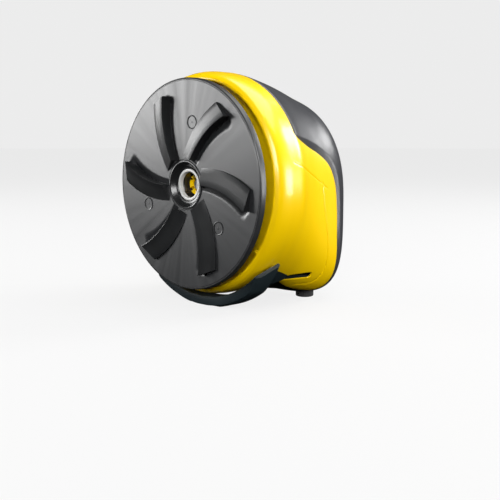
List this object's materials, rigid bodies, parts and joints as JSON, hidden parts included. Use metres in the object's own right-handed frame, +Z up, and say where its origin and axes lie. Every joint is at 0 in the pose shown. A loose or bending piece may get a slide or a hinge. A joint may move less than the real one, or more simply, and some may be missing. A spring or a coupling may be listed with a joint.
{
  "type": "cordless rotary disc scraper",
  "caption": "Hand-held cordless disc scraper: a toothed plastic disc on a geared spindle in a round housing with a dark grip cover, a start lever below and a rear power button.",
  "frame": {"origin": "middle of the bounding box at the floor the tool stands on", "axes": "+Z up, -Y the way the scraping disc faces, +X to the right seen from the front of the disc"},
  "size_m": [0.1396, 0.1094, 0.1465],
  "materials": {
    "yellow_shell": "satin",
    "dark_cover": "satin",
    "disc_plastic": "satin",
    "black_plastic": "matte",
    "rubber": "matte",
    "steel": "satin",
    "sleeve_metal": "satin",
    "motor_steel": "satin",
    "bronze": "satin",
    "gear_plastic": "satin",
    "cell_wrap": "gloss",
    "lead_cover": "satin",
    "board": "satin",
    "lens": "gloss"
  },
  "bodies": {
    "housing": {"front_housing": "yellow_shell", "rear_cover": "dark_cover", "gear_case": "black_plastic", "motor_end_bell": "black_plastic", "cell_holder": "black_plastic", "button_switch": "black_plastic", "lever_switch": "black_plastic", "charge_socket": "black_plastic", "rear_foot_right": "rubber", "rear_foot_left": "rubber", "spindle_seal": "rubber", "front_bearing": "steel", "cell_strap": "steel", "lever_pin_right": "steel", "lever_pin_left": "steel", "lever_spring_right": "steel", "lever_spring_left": "steel", "cover_screw_1": "steel", "cover_screw_2": "steel", "cover_screw_3": "steel", "cover_screw_4": "steel", "case_screw_1": "steel", "case_screw_2": "steel", "case_screw_3": "steel", "case_screw_4": "steel", "motor_screw_1": "steel", "motor_screw_2": "steel", "motor_can": "motor_steel", "rear_bush": "bronze", "cell_front": "cell_wrap", "cell_rear": "cell_wrap", "battery_lead_positive": "lead_cover", "battery_lead_negative": "lead_cover", "motor_lead_right": "lead_cover", "motor_lead_left": "lead_cover", "control_board": "board", "status_lens": "lens"},
    "spindle": {"drive_spindle": "steel", "drive_dog": "yellow_shell", "output_gear": "gear_plastic", "spindle_circlip": "steel"},
    "disc": {"scraper_disc": "disc_plastic", "disc_hub_sleeve": "sleeve_metal"},
    "rotor": {"motor_shaft": "steel", "motor_pinion": "bronze"},
    "lever": {"start_lever": "black_plastic"},
    "button": {"power_button": "black_plastic", "button_spring": "steel"},
    "charge_flap": {"socket_cover": "rubber"}
  },
  "joints": [
    {"name": "spindle_spin", "type": "hinge", "parent": "housing", "child": "spindle", "pos_m": [0, -0.0101, 0.0767], "axis": [0, 1, 0], "continuous": true},
    {"name": "disc_pull", "type": "slide", "parent": "spindle", "child": "disc", "axis": [0, -1, 0], "range_m": [0, 0.022]},
    {"name": "rotor_spin", "type": "hinge", "parent": "housing", "child": "rotor", "pos_m": [0, -0.0101, 0.0392], "axis": [0, 1, 0], "continuous": true},
    {"name": "lever_squeeze", "type": "hinge", "parent": "housing", "child": "lever", "pos_m": [0, -0.0171, 0.0213], "axis": [1, 0, 0], "range_deg": [0, 3], "stiffness_Nm_per_rad": 1, "springref_deg": -5.16},
    {"name": "button_press", "type": "slide", "parent": "housing", "child": "button", "axis": [0, -1, 0], "range_m": [0, 0.0015], "stiffness_N_per_m": 800, "springref_m": -0.001},
    {"name": "charge_flap_open", "type": "hinge", "parent": "housing", "child": "charge_flap", "pos_m": [0, 0.052, 0.0419], "axis": [1, 0, 0], "range_deg": [0, 90]}
  ],
  "couplings": [
    {"joint": "rotor_spin", "follows": "spindle_spin", "ratio": -4}
  ]
}
